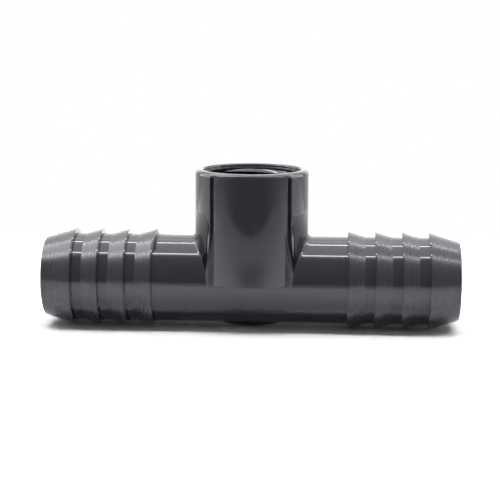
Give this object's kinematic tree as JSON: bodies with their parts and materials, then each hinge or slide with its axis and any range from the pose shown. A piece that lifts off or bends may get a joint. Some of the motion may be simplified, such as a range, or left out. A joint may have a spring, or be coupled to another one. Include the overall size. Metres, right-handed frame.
{
  "type": "barbed tee connector",
  "caption": "Grey plastic insert tee: a straight run with a barbed hose spigot at each end and a round branch with a female pipe thread.",
  "frame": {"origin": "where the axis of the run and the axis of the branch cross", "axes": "+X along the run towards the right spigot, +Z along the branch and out of its mouth, +Y away from the viewer of the picture"},
  "size_m": [0.1202, 0.0326, 0.0462],
  "materials": {
    "body": "smooth moulded gloss",
    "barbs": "satin cones with fine turned rings"
  },
  "bodies": {
    "root": {"run_body": "body", "left_barb_1": "barbs", "left_barb_2": "barbs", "left_barb_3": "barbs", "left_barb_4": "barbs", "right_barb_1": "barbs", "right_barb_2": "barbs", "right_barb_3": "barbs", "right_barb_4": "barbs", "branch_socket": "body", "branch_thread": "body", "gate_pad": "body"}
  },
  "joints": []
}
